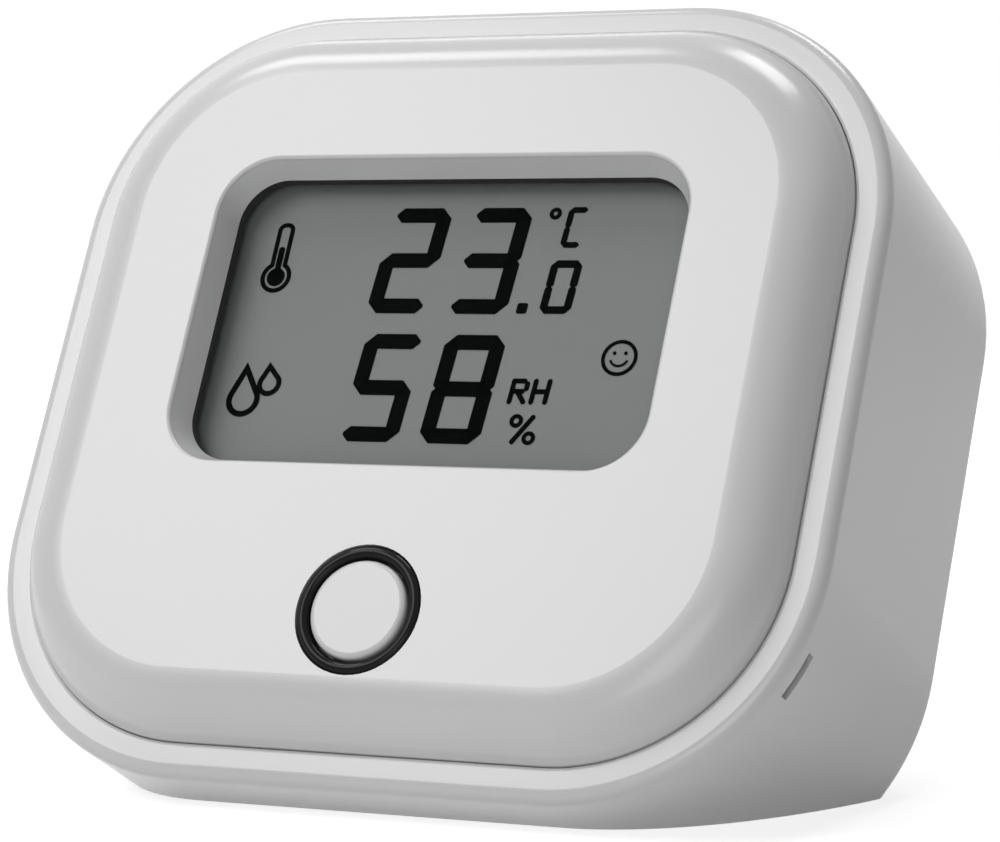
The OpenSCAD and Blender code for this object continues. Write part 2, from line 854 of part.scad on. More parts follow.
// Tapered compression spring as one unbroken tube along x, wide end at zero
spring_steps = 8 * spring_turns;
spring_sides = 6;
function spring_r(f) = spring_wide_r + (spring_narrow_r - spring_wide_r) * f;
function spring_a(f) = 360 * spring_turns * f;
function spring_out(f) = [0, cos(spring_a(f)), sin(spring_a(f))];
function spring_c(f) = [wire_r + spring_len * f, 0, 0] + spring_r(f) * spring_out(f);
function spring_side(f, a) = wire_r * (cos(a) * spring_out(f) + sin(a) * [1, 0, 0]);
function spring_p(f, k) = spring_c(f) + spring_side(f, 360 * k / spring_sides);
spring_rings = [for (i = [0:spring_steps]) [for (k = [0:spring_sides - 1]) spring_p(i / spring_steps, k)]];
// the least gap between points of curls that lie at least three quarters of a turn apart
spring_gap = min([for (i = [0:spring_steps]) for (j = [0:spring_steps]) if (j >= i + 6)
  for (p = spring_rings[i]) for (q = spring_rings[j]) norm(p - q)]);
echo(least_gap_between_curls = spring_gap);

module cell_spring() {
  n = spring_steps;
  m = spring_sides;
  points = [for (ring = spring_rings) for (p = ring) p];
  skin = [for (i = [0:n - 1]) for (k = [0:m - 1]) for (h = [0, 1])
    h == 0 ? [i * m + k, i * m + (k + 1) % m, (i + 1) * m + k]
      : [i * m + (k + 1) % m, (i + 1) * m + (k + 1) % m, (i + 1) * m + k]];
  ends = [[for (k = [m - 1:-1:0]) k], [for (k = [0:m - 1]) n * m + k]];
  polyhedron(points = points, faces = concat(skin, ends));
}

module cell_spring_upper() {
  color([0.75, 0.75, 0.74]) face_frame() translate([-plate_in, cell_v2, cell_n]) cell_spring();
}

module cell_spring_lower() {
  color([0.75, 0.75, 0.74]) face_frame()
    translate([plate_in, cell_v1, cell_n]) rotate([0, 0, 180]) cell_spring();
}

rear_housing();
front_cover();
display_gasket();
display_window();
lcd_front_polariser();
lcd_front_glass();
lcd_rear_glass();
lcd_reflector();
display_frame();
zebra_strip_upper();
zebra_strip_lower();
circuit_board();
board_screws();
case_screws();
button_cap();
button_ring();
switch_body();
switch_plunger();
humidity_sensor();
sensor_filter();
radio_board();
radio_shield();
antenna();
microcontroller();
quartz_crystal();
capacitor();
chip_parts();
battery_upper();
battery_lower();
battery_door();
contact_positive();
contact_negative();
contact_link();
cell_spring_upper();
cell_spring_lower();
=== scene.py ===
"""Looks of a free-standing temperature and humidity sensor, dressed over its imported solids.

Sizes are in millimetres, and meshes are put in metres when they are placed.
"""

import json
import logging
import math
from dataclasses import dataclass
from enum import Enum
from functools import cache
from typing import Any, Callable, Dict, Iterable, List, Optional, Sequence, Tuple

import bpy
import bmesh
from mathutils import Matrix, Vector


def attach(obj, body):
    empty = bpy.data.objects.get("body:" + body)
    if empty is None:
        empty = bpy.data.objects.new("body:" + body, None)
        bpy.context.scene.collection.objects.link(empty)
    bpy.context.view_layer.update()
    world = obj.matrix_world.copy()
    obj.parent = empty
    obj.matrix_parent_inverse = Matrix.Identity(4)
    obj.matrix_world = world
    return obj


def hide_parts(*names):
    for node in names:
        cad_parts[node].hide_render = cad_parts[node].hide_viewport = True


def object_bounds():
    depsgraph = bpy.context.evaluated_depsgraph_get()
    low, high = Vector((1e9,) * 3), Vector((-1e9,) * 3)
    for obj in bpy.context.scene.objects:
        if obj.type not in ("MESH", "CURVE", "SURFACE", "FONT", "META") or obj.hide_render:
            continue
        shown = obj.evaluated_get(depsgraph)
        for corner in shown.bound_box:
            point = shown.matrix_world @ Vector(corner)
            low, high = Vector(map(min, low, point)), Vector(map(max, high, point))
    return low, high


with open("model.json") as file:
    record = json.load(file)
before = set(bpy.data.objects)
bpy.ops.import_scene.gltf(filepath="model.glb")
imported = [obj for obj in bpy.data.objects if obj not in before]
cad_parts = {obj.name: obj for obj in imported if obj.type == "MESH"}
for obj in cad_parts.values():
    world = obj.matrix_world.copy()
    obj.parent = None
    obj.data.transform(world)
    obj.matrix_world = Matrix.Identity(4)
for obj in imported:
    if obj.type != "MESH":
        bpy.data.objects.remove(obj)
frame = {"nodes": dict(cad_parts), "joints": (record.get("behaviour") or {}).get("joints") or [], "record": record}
CAD_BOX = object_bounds()

MM = 0.001
PHOTO_WIDTH_PX = 1000
SENSOR_WIDTH_MM = 36.0
WHITE = (1.0, 1.0, 1.0, 1.0)

LOG = logging.getLogger("sensor")

Colour = Tuple[float, float, float]
Point = Tuple[float, float]
Node = bpy.types.Node
NodeTree = bpy.types.NodeTree
Material = bpy.types.Material
Piece = bpy.types.Object


class Body(Enum):
    """Bodies that new pieces ride on."""

    HOUSING = "housing"


class Slot(Enum):
    """Finishes of the record named for new pieces: the springs take theirs, and no new piece takes the display's.
    """

    DISPLAY = "lcd_grey"
    SPRING = "contact_nickel"


class Bar(Enum):
    """Bars of a seven-bar digit."""

    TOP = "top"
    UPPER_LEFT = "upper_left"
    UPPER_RIGHT = "upper_right"
    MIDDLE = "middle"
    LOWER_LEFT = "lower_left"
    LOWER_RIGHT = "lower_right"
    BOTTOM = "bottom"


DIGIT_BARS: Dict[str, Tuple[Bar, ...]] = {
    "0": (Bar.TOP, Bar.UPPER_LEFT, Bar.UPPER_RIGHT, Bar.LOWER_LEFT, Bar.LOWER_RIGHT, Bar.BOTTOM),
    "2": (Bar.TOP, Bar.UPPER_RIGHT, Bar.MIDDLE, Bar.LOWER_LEFT, Bar.BOTTOM),
    "3": (Bar.TOP, Bar.UPPER_RIGHT, Bar.MIDDLE, Bar.LOWER_RIGHT, Bar.BOTTOM),
    "5": (Bar.TOP, Bar.UPPER_LEFT, Bar.MIDDLE, Bar.LOWER_RIGHT, Bar.BOTTOM),
    "8": tuple(Bar),
    "C": (Bar.TOP, Bar.UPPER_LEFT, Bar.LOWER_LEFT, Bar.BOTTOM),
}


# The leaning frame of the face


@dataclass(frozen=True)
class FaceFrame:
    """The frame of the leaning face: u runs across it, v up it and n out of it.

    Attributes:
        across: Direction of u.
        up: Direction of v.
        out: Direction of n.
    """

    across: Vector
    up: Vector
    out: Vector

    @classmethod
    def from_joints(cls, joints: Sequence[Dict[str, Any]]) -> "FaceFrame":
        """Takes the lean of the face from the way the button travels.

        Args:
            joints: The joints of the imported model.

        Returns:
            The frame of the face.
        """
        press = next(joint for joint in joints if joint["name"] == "button_press")
        out = -Vector(press["axis"]).normalized()
        across = Vector((1.0, 0.0, 0.0))
        return cls(across, out.cross(across), out)

    def box(self, node: str) -> Tuple[Vector, Vector]:
        """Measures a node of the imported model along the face.

        Args:
            node: Name of the node.

        Returns:
            The lowest and highest u, v and n of the node, in millimetres.
        """
        turn = Matrix((self.across, self.up, self.out))
        points = [turn @ vertex.co / MM for vertex in frame["nodes"][node].data.vertices]
        low = Vector(min(point[i] for point in points) for i in range(3))
        high = Vector(max(point[i] for point in points) for i in range(3))
        return low, high

    def middle(self, node: str) -> Vector:
        """Gives the middle of a node as u, v and n, in millimetres."""
        low, high = self.box(node)
        return (low + high) / 2

    def place(self, origin: Vector) -> Matrix:
        """Gives the matrix that puts a mesh in millimetres at u, v and n on the face, in metres."""
        turn = Matrix((self.across, self.up, self.out)).transposed().to_4x4()
        return Matrix.Scale(MM, 4) @ turn @ Matrix.Translation(origin)


# Modelling with operators


class Bench:
    """Adds primitives and shapes them in edit mode, at the origin and in millimetres."""

    @staticmethod
    def clear() -> None:
        """Leaves edit mode and selects nothing."""
        if bpy.context.object is not None and bpy.context.object.mode != "OBJECT":
            bpy.ops.object.mode_set(mode="OBJECT")
        bpy.ops.object.select_all(action="DESELECT")

    @staticmethod
    def pick(mode: str, test: Callable[[Vector], bool]) -> None:
        """Selects the faces, edges or points of the edited mesh whose middles pass a test.

        Args:
            mode: "FACE", "EDGE" or "VERT".
            test: Takes the middle of a face, edge or point.
        """
        data = bpy.context.object.data
        bpy.ops.mesh.select_mode(type=mode)
        bpy.ops.mesh.select_all(action="DESELECT")
        mesh = bmesh.from_edit_mesh(data)
        mesh.normal_update()
        for item in {"FACE": mesh.faces, "EDGE": mesh.edges, "VERT": mesh.verts}[mode]:
            corners = [item.co] if mode == "VERT" else [corner.co for corner in item.verts]
            if test(sum(corners, Vector()) / len(corners)):
                item.select_set(True)
        mesh.select_flush_mode()
        bmesh.update_edit_mesh(data)

    @classmethod
    def bar(cls, length: float, width: float, depth: float, point: float) -> Piece:
        """Models a flat bar along x with mitred ends.

        Args:
            length: Length from tip to tip.
            width: Width across the bar.
            depth: Thickness.
            point: How far the ends are cut back at their corners.

        Returns:
            The bar, lying on z = 0 with its middle at the origin.
        """
        cls.clear()
        size = (length, width, depth)
        bpy.ops.mesh.primitive_cube_add(size=1.0, location=(0.0, 0.0, depth / 2), scale=size)
        bpy.ops.object.transform_apply(location=True, rotation=True, scale=True)
        bpy.ops.object.mode_set(mode="EDIT")
        cls.pick("EDGE", lambda middle: abs(middle.z - depth / 2) < depth / 4)
        bpy.ops.mesh.bevel(offset=point, offset_type="OFFSET", segments=1, affect="EDGES")
        bpy.ops.object.mode_set(mode="OBJECT")
        return bpy.context.object

    @classmethod
    def disc(cls, radius: float, sides: int = 48) -> Piece:
        """Adds a filled disc and opens it in edit mode, with a point straight up.

        Args:
            radius: Radius of the disc.
            sides: Sides of the disc.

        Returns:
            The disc, in edit mode.
        """
        cls.clear()
        bpy.ops.mesh.primitive_circle_add(vertices=sides, radius=radius, fill_type="NGON")
        bpy.ops.object.mode_set(mode="EDIT")
        return bpy.context.object

    @staticmethod
    def hollow(stroke: float) -> None:
        """Turns the edited flat face into a flat outline of one stroke.

        Args:
            stroke: Width of the outline.
        """
        bpy.ops.mesh.select_mode(type="FACE")
        bpy.ops.mesh.select_all(action="SELECT")
        bpy.ops.mesh.inset(thickness=stroke, use_even_offset=True)
        bpy.ops.mesh.delete(type="FACE")

    @classmethod
    def outline(cls, stroke: float, depth: float) -> Piece:
        """Turns the edited flat face into an outline of one stroke with some depth."""
        cls.hollow(stroke)
        return cls.raise_flat(depth)

    @staticmethod
    def raise_flat(depth: float) -> Piece:
        """Extrudes all flat faces of the edited mesh and closes them into a solid.

        Args:
            depth: Thickness.

        Returns:
            The solid, in object mode.
        """
        bpy.ops.mesh.select_all(action="SELECT")
        bpy.ops.mesh.extrude_region_move(TRANSFORM_OT_translate={"value": (0.0, 0.0, depth)})
        bpy.ops.mesh.select_all(action="SELECT")
        bpy.ops.mesh.normals_make_consistent(inside=False)
        bpy.ops.object.mode_set(mode="OBJECT")
        return bpy.context.object

    @classmethod
    def join(cls, name: str, parts: Sequence[Piece]) -> Piece:
        """Joins parts into one object.

        Args:
            name: Name of the object.
            parts: Objects to join.

        Returns:
            The joined object.
        """
        cls.clear()
        for part in parts:
            part.select_set(True)
        bpy.context.view_layer.objects.active = parts[0]
        if len(parts) > 1:
            bpy.ops.object.join()
        whole = bpy.context.object
        whole.name = name
        whole.data.name = name
        return whole

    @staticmethod
    def shift(piece: Piece, u: float, v: float, turn: float = 0.0) -> Piece:
        """Turns a flat part about its origin and moves it, in its mesh.

        Args:
            piece: The part.
            u: Move across.
            v: Move up.
            turn: Turn against the clock, in degrees.

        Returns:
            The same part.
        """
        turned = Matrix.Rotation(math.radians(turn), 4, "Z")
        piece.data.transform(Matrix.Translation((u, v, 0.0)) @ turned)
        return piece


# Shared effects


class Effects:
    """Node groups that more than one finish uses, each built once.

    Attributes:
        PIT_SHARE: Share of the pits in the height of the grain.
    """

    PIT_SHARE = 0.5

    @staticmethod
    def _group(name: str, inputs: Dict[str, float], outputs: Iterable[str]) -> NodeTree:
        """Starts a group with named number inputs, a Vector input and number outputs.

        Args:
            name: Name of the group.
            inputs: Number inputs with their defaults.
            outputs: Names of the number outputs.

        Returns:
            The empty group.
        """
        group = bpy.data.node_groups.new(name, "ShaderNodeTree")
        group.interface.new_socket("Vector", in_out="INPUT", socket_type="NodeSocketVector")
        for key, value in inputs.items():
            socket = group.interface.new_socket(key, in_out="INPUT", socket_type="NodeSocketFloat")
            socket.default_value = value
        for key in outputs:
            group.interface.new_socket(key, in_out="OUTPUT", socket_type="NodeSocketFloat")
        return group

    @classmethod
    @cache
    def grain(cls) -> NodeTree:
        """Fine grain of a spark-eroded mould, as a height, and slow clouds, as a mask."""
        group = cls._group("mould_grain", {"Scale": 2000.0}, ("Height", "Clouds"))
        tree = Wiring(group)
        entry = tree.add("NodeGroupInput")
        fine = tree.add("ShaderNodeTexNoise", Detail=3.0, Roughness=0.6)
        pits = tree.add("ShaderNodeTexVoronoi")
        clouds = tree.add("ShaderNodeTexNoise", Scale=55.0, Detail=2.0, Roughness=0.5)
        blend = tree.add("ShaderNodeMath", operation="MULTIPLY_ADD")
        leave = tree.add("NodeGroupOutput")
        for texture in (fine, pits, clouds):
            tree.join(entry, "Vector", texture, "Vector")
        tree.join(entry, "Scale", fine, "Scale")
        tree.join(entry, "Scale", pits, "Scale")
        tree.join(pits, "Distance", blend, 0)
        blend.inputs[1].default_value = cls.PIT_SHARE
        tree.join(fine, 0, blend, 2)
        tree.join(blend, 0, leave, "Height")
        tree.join(clouds, 0, leave, "Clouds")
        return group

    @classmethod
    @cache
    def brushing(cls) -> NodeTree:
        """Fine lines along one direction, for drawn and stamped metal."""
        group = cls._group("drawn_lines", {"Scale": 900.0, "Stretch": 0.04}, ("Height", "Clouds"))
        tree = Wiring(group)
        entry = tree.add("NodeGroupInput")
        stretch = tree.add("ShaderNodeCombineXYZ", Y=1.0, Z=1.0)
        squeeze = tree.add("ShaderNodeVectorMath", operation="MULTIPLY")
        lines = tree.add("ShaderNodeTexNoise", Detail=4.0, Roughness=0.7)
        clouds = tree.add("ShaderNodeTexNoise", Scale=240.0, Detail=2.0)
        leave = tree.add("NodeGroupOutput")
        tree.join(entry, "Stretch", stretch, "X")
        tree.join(entry, "Vector", squeeze, 0)
        tree.join(stretch, 0, squeeze, 1)
        tree.join(squeeze, 0, lines, "Vector")
        tree.join(entry, "Scale", lines, "Scale")
        tree.join(entry, "Vector", clouds, "Vector")
        tree.join(lines, 0, leave, "Height")
        tree.join(clouds, 0, leave, "Clouds")
        return group


class Wiring:
    """A node tree with short calls to add and join nodes."""

    def __init__(self, tree: NodeTree) -> None:
        """Keeps the tree to work on."""
        self.tree = tree

    def add(self, kind: str, group: Optional[NodeTree] = None, **values: Any) -> Node:
        """Adds a node and sets its options and inputs.

        Args:
            kind: Blender's name of the node type.
            group: Group to place, for a group node.
            **values: Options of the node, or its inputs by name with _ for a space.

        Returns:
            The node.
        """
        node = self.tree.nodes.new(kind)
        if group is not None:
            node.node_tree = group
        for key, value in values.items():
            if hasattr(node, key) and key not in node.inputs:
                setattr(node, key, value)
            else:
                node.inputs[key.replace("_", " ")].default_value = value
        return node

    def join(self, source: Node, out: Any, target: Node, into: Any) -> None:
        """Links an output to an input, each given by its name or number."""
        self.tree.links.new(source.outputs[out], target.inputs[into])

    def on_object(self, kind: str, group: Optional[NodeTree] = None, **values: Any) -> Node:
        """Adds a node that takes the object's own coordinates.

        Args:
            kind: Blender's name of the node type.
            group: Group to place, for a group node.
            **values: Options and inputs, as for any node.

        Returns:
            The node.
        """
        node = self.add(kind, group, **values)
        self.join(self.add("ShaderNodeTexCoord"), "Object", node, "Vector")
        return node

    def spread(self, source: Node, out: Any, low: float, high: float) -> Node:
        """Maps a mask from 0..1 to a range of values.

        Args:
            source: Node that gives the mask.
            out: Output of that node.
            low: Value at 0.
            high: Value at 1.

        Returns:
            The mapping node.
        """
        node = self.add("ShaderNodeMapRange", To_Min=low, To_Max=high)
        self.join(source, out, node, 0)
        return node

    def ramp(self, source: Node, out: Any, stops: Tuple[float, float], colours: Sequence[Colour]) -> Node:
        """Adds a ramp between two colours.

        Args:
            source: Node that drives it.
            out: Output of that node.
            stops: Places of the two colours.
            colours: The two colours.

        Returns:
            The ramp.
        """
        node = self.add("ShaderNodeValToRGB")
        for element, place, colour in zip(node.color_ramp.elements, stops, colours):
            element.position = place
            element.color = (*colour, 1.0)
        self.join(source, out, node, 0)
        return node


class Surface(Wiring):
    """A new material with one Principled shader, and short calls for what finishes share."""

    def __init__(self, name: str) -> None:
        """Starts the material.

        Args:
            name: Name of the material.
        """
        self.material = bpy.data.materials.new(name)
        self.material.use_nodes = True
        super().__init__(self.material.node_tree)
        self.shader = next(node for node in self.tree.nodes if node.type == "BSDF_PRINCIPLED")

    def set(self, **values: Any) -> None:
        """Sets inputs of the shader by name, with _ for a space."""
        for key, value in values.items():
            self.shader.inputs[key.replace("_", " ")].default_value = value

    def feed(self, source: Node, out: Any, key: str) -> None:
        """Links an output to an input of the shader."""
        self.join(source, out, self.shader, key)

    def tone(self, source: Node, out: Any, stops: Tuple[float, float], *colours: Colour) -> None:
        """Colours the surface by a mask, from one colour to another."""
        self.feed(self.ramp(source, out, stops, colours), 0, "Base Color")

    def gloss(self, source: Node, out: Any, low: float, high: float) -> None:
        """Sets the roughness by a mask, from low to high."""
        self.feed(self.spread(source, out, low, high), 0, "Roughness")

    def relief(self, source: Node, out: str, strength: float, depth: float) -> None:
        """Raises the surface by a height.

        Args:
            source: Node that gives the height.
            out: Output of that node.
            strength: Strength of the relief.
            depth: Depth of the relief, in millimetres.
        """
        bump = self.add("ShaderNodeBump", Strength=strength, Distance=depth * MM)
        self.join(source, out, bump, "Height")
        self.feed(bump, 0, "Normal")


def shaded(colour: Colour, share: float) -> Colour:
    """Gives a colour at a share of its brightness."""
    return tuple(share * part for part in colour)


# Finishes


# Where the tones of slow clouds begin and end
CLOUD_STOPS = (0.3, 0.7)
# Sockets of a mix node that take and give colours
MIX_FIRST = 6
MIX_SECOND = 7
MIX_RESULT = 2


@dataclass(frozen=True)
class Grained:
    """A finish with fine grain and slow clouds of tone: moulded plastic, foam, ceramic or lacquer.

    Attributes:
        name: Name of the material.
        dark: Colour where the clouds are thin.
        light: Colour where the clouds are thick.
        smooth: Lowest roughness.
        rough: Highest roughness.
        scale: Grains per metre.
        bump: Strength of the grain.
        depth: Height of the grain, in millimetres.
        specular: Specular level.
    """

    name: str
    dark: Colour
    light: Colour
    smooth: float
    rough: float
    scale: float = 2600.0
    bump: float = 0.2
    depth: float = 0.02
    specular: float = 0.5

    def build(self) -> Material:
        """Builds the material."""
        surface = Surface(self.name)
        grain = surface.on_object("ShaderNodeGroup", Effects.grain(), Scale=self.scale)
        surface.tone(grain, "Clouds", CLOUD_STOPS, self.dark, self.light)
        surface.gloss(grain, "Clouds", self.smooth, self.rough)
        surface.relief(grain, "Height", self.bump, self.depth)
        surface.set(Specular_IOR_Level=self.specular)
        return surface.material


@dataclass(frozen=True)
class DrawnMetal:
    """Plated or stamped metal with fine lines.

    Attributes:
        name: Name of the material.
        dark: Colour of the dull stretches.
        light: Colour of the bright stretches.
        smooth: Lowest roughness.
        rough: Highest roughness.
        bump: Strength of the lines.
        depth: Depth of the lines, in millimetres.
        stops: Where the tones of the stretches begin and end.
    """

    name: str
    dark: Colour
    light: Colour
    smooth: float
    rough: float
    bump: float = 0.15
    depth: float = 0.01
    stops: Tuple[float, float] = (0.35, 0.65)

    def build(self) -> Material:
        """Builds the material."""
        surface = Surface(self.name)
        lines = surface.on_object("ShaderNodeGroup", Effects.brushing())
        surface.tone(lines, "Clouds", self.stops, self.dark, self.light)
        surface.gloss(lines, "Height", self.smooth, self.rough)
        surface.relief(lines, "Height", self.bump, self.depth)
        surface.set(Metallic=1.0)
        return surface.material


@dataclass(frozen=True)
class ClearPane:
    """A thin clear sheet that lets the display through and keeps a soft sheen.

    Attributes:
        name: Name of the material.
        tint: Colour of what little the sheet itself shows.
        haze: Lowest and highest opacity.
        roughness: Roughness of its surface.
        specular: Specular level.
        scale: Grains per metre.
        shade: Darkest shade of the tint, as a share.
    """

    name: str
    tint: Colour
    haze: Tuple[float, float]
    roughness: float
    specular: float
    scale: float = 900.0
    shade: float = 0.9

    def build(self) -> Material:
        """Builds the material."""
        surface = Surface(self.name)
        grain = surface.on_object("ShaderNodeGroup", Effects.grain(), Scale=self.scale)
        surface.tone(grain, "Clouds", CLOUD_STOPS, self.tint, shaded(self.tint, self.shade))
        surface.feed(surface.spread(grain, "Clouds", *self.haze), 0, "Alpha")
        surface.set(Specular_IOR_Level=self.specular, Roughness=self.roughness)
        return surface.material


@dataclass(frozen=True)
class StripedRubber:
    """Contact strip of thin carbon layers between clear ones.

    Attributes:
        name: Name of the material.
        clear: Colour of the rubber.
        carbon: Colour of the carbon layers.
        pitch: Layers per metre.
        waver: How uneven the layers are.
        stops: Where a layer's edge begins and ends.
        roughness: Lowest and highest roughness.
    """

    name: str
    clear: Colour
    carbon: Colour
    pitch: float
    waver: float = 0.4
    stops: Tuple[float, float] = (0.4, 0.6)
    roughness: Tuple[float, float] = (0.45, 0.6)

    def build(self) -> Material:
        """Builds the material."""
        surface = Surface(self.name)
        wave = surface.on_object("ShaderNodeTexWave", Scale=self.pitch, Distortion=self.waver, Detail=1.0)
        surface.tone(wave, 1, self.stops, self.clear, self.carbon)
        surface.gloss(wave, 1, *self.roughness)
        return surface.material


@dataclass(frozen=True)
class BoardMask:
    """Solder mask over copper tracks.

    Attributes:
        name: Name of the material.
        mask: Colour over bare laminate.
        track: Colour over copper.
        pitch: Tracks per metre.
        shade: Darkest shade of the mask, as a share.
        scale: Grains per metre.
        roughness: Lowest and highest roughness.
        bump: Strength of the tracks' edges.
        depth: Height of the tracks, in millimetres.
    """

    name: str
    mask: Colour
    track: Colour
    pitch: float
    shade: float = 0.85
    scale: float = 1500.0
    roughness: Tuple[float, float] = (0.25, 0.4)
    bump: float = 0.3
    depth: float = 0.03

    def build(self) -> Material:
        """Builds the material."""
        surface = Surface(self.name)
        tracks = surface.on_object("ShaderNodeTexBrick", Scale=self.pitch)
        dark = shaded(self.mask, self.shade)
        for key, colour in (("Color1", self.mask), ("Color2", dark), ("Mortar", self.track)):
            tracks.inputs[key].default_value = (*colour, 1.0)
        surface.feed(tracks, "Color", "Base Color")
        grain = surface.on_object("ShaderNodeGroup", Effects.grain(), Scale=self.scale)
        surface.gloss(grain, "Clouds", *self.roughness)
        surface.relief(tracks, "Fac", self.bump, self.depth)
        return surface.material


@dataclass(frozen=True)
class CellJacket:
    """Lacquered jacket of a cell with a bright band at its ends.

    Attributes:
        name: Name of the material.
        jacket: Colour of the jacket.
        band: Colour of the band.
        reach: Distance of the bands from the middle of the part, in millimetres.
        shade: Darkest shade of the jacket's own colour, as a share.
        scale: Grains per metre.
        roughness: Lowest and highest roughness.
    """

    name: str
    jacket: Colour
    band: Colour
    reach: float
    shade: float
    scale: float = 1200.0
    roughness: Tuple[float, float] = (0.22, 0.34)

    def build(self) -> Material:
        """Builds the material."""
        surface = Surface(self.name)
        split = surface.on_object("ShaderNodeSeparateXYZ")
        size = surface.add("ShaderNodeMath", operation="ABSOLUTE")
        surface.join(split, "X", size, 0)
        band = surface.add("ShaderNodeMath", operation="GREATER_THAN")
        band.inputs[1].default_value = self.reach * MM
        surface.join(size, 0, band, 0)
        grain = surface.on_object("ShaderNodeGroup", Effects.grain(), Scale=self.scale)
        dark = shaded(self.jacket, self.shade)
        tone = surface.ramp(grain, "Clouds", CLOUD_STOPS, (dark, self.jacket))
        paint = surface.add("ShaderNodeMix", data_type="RGBA")
        surface.join(band, 0, paint, 0)
        surface.join(tone, 0, paint, MIX_FIRST)
        paint.inputs[MIX_SECOND].default_value = (*self.band, 1.0)
        surface.feed(paint, MIX_RESULT, "Base Color")
        surface.gloss(grain, "Clouds", *self.roughness)
        surface.feed(band, 0, "Metallic")
        return surface.material


FINISHES: Dict[str, Any] = {
    finish.name: finish
    for finish in (
        Grained("shell_white", (0.775, 0.778, 0.777), (0.80, 0.803, 0.802), 0.20, 0.26, specular=0.7),
        Grained("button_white", (0.77, 0.773, 0.772), (0.795, 0.798, 0.797), 0.22, 0.28, specular=0.65),
        # Glossy ring in the gap round the button: its near-black colour is painted shade of the gap, and its
        # glints are real reflections of the lamps
        Grained(
            "trim_dark", (0.004, 0.004, 0.0045), (0.007, 0.007, 0.0075), 0.08, 0.12,
            bump=0.02, specular=0.13,
        ),
        Grained("foam_black", (0.010, 0.010, 0.010), (0.018, 0.018, 0.018), 0.75, 0.9, 1800.0, 0.6, 0.08),
        ClearPane("window_clear", (0.50, 0.53, 0.52), (0.002, 0.005), 0.12, 0.015),
        Grained("lcd_grey", (0.212, 0.229, 0.224), (0.240, 0.255, 0.248), 0.5, 0.62, 5200.0, 0.1),
        ClearPane("lcd_glass", (0.72, 0.80, 0.78), (0.25, 0.35), 0.06, 0.5),
        DrawnMetal("reflector_film", (0.62, 0.63, 0.61), (0.72, 0.73, 0.71), 0.35, 0.5),
        Grained("frame_plastic", (0.60, 0.60, 0.58), (0.66, 0.66, 0.64), 0.45, 0.6),
        StripedRubber("zebra_rubber", (0.62, 0.34, 0.38), (0.03, 0.025, 0.03), 1700.0),
        BoardMask("board_green", (0.012, 0.085, 0.04), (0.03, 0.16, 0.07), 160.0),
        BoardMask("radio_blue", (0.012, 0.035, 0.11), (0.03, 0.08, 0.2), 300.0),
        DrawnMetal("screw_steel", (0.50, 0.50, 0.51), (0.62, 0.62, 0.62), 0.25, 0.42),
        DrawnMetal("contact_nickel", (0.60, 0.59, 0.56), (0.72, 0.71, 0.68), 0.2, 0.35),
        Grained("chip_black", (0.012, 0.012, 0.013), (0.02, 0.02, 0.021), 0.45, 0.6, 3500.0, 0.4),
        Grained("plunger_tan", (0.44, 0.36, 0.25), (0.52, 0.44, 0.32), 0.4, 0.5),
        Grained("filter_white", (0.70, 0.70, 0.70), (0.80, 0.80, 0.80), 0.8, 0.95, 6000.0, 0.6),
        DrawnMetal("shield_tin", (0.58, 0.58, 0.58), (0.70, 0.70, 0.69), 0.28, 0.42),
        DrawnMetal("antenna_brass", (0.58, 0.42, 0.18), (0.70, 0.54, 0.26), 0.25, 0.4),
        Grained("capacitor_can", (0.02, 0.02, 0.04), (0.035, 0.035, 0.06), 0.3, 0.42),
        Grained("chip_ceramic", (0.30, 0.22, 0.14), (0.42, 0.33, 0.22), 0.5, 0.65),
        CellJacket("cell_jacket", (0.03, 0.036, 0.045), (0.56, 0.30, 0.13), 13.5, 0.7),
    )
}
INK = Grained(
    "segment_ink", (0.002, 0.0025, 0.0025), (0.004, 0.0045, 0.0045), 0.5, 0.6, 5200.0, 0.05, specular=0.0
)


class Wardrobe:
    """Builds each finish once and puts it on nodes and pieces."""

    def __init__(self) -> None:
        """Starts with nothing built."""
        self._made: Dict[str, Material] = {}

    def material(self, finish: Any) -> Material:
        """Gives the material of a finish, and builds it the first time.

        Args:
            finish: The finish.

        Returns:
            Its material.
        """
        if finish.name not in self._made:
            self._made[finish.name] = finish.build()
        return self._made[finish.name]

    def dress(self, piece: Piece, finish: Any) -> None:
        """Puts a finish on a piece."""
        piece.data.materials.clear()
        piece.data.materials.append(self.material(finish))

    def dress_nodes(self) -> None:
        """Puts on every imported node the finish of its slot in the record."""
        for row in frame["record"]["subparts"]:
            self.dress(frame["nodes"][row["node"]], FINISHES[row["material_slot"]])
            LOG.info("dressed %s in %s", row["node"], row["material_slot"])


# Marks of the display, in millimetres from the middle of its opening


# Thickness of the dark layer
INK_DEPTH = 0.04
# Lean of the digits to the right, as a share of their height
SLANT = 0.066
# Gap between neighbouring bars of a digit
BAR_GAP = 0.1
# How far a bar runs on at each end and how far its corners are cut back, as shares of its width
BAR_REACH = 0.25
BAR_CUT = 0.42
# Sides of small spots and of the rounds that are cut into other forms
SPOT_SIDES = 24
FINE_SIDES = 64
# Shares of a radius or height that pick a top point, what lies within a stem and what lies near the top
PEAK = 0.9999
WITHIN = 0.97
NEAR_TOP = 0.9
# Distance from the middle line within which an edge crosses it
CROSSING = 0.05


def lean(part: Piece, left: float, low: float) -> Piece:
    """Leans a part of a digit to the right and puts it in its row.

    Args:
        part: The part, with the digit's foot at its origin.
        left: Left edge of the digit.
        low: Foot of the digit.

    Returns:
        The same part.
    """
    slope = Matrix.Identity(4)
    slope[0][1] = SLANT
    part.data.transform(Matrix.Translation((left, low, 0.0)) @ slope)
    return part


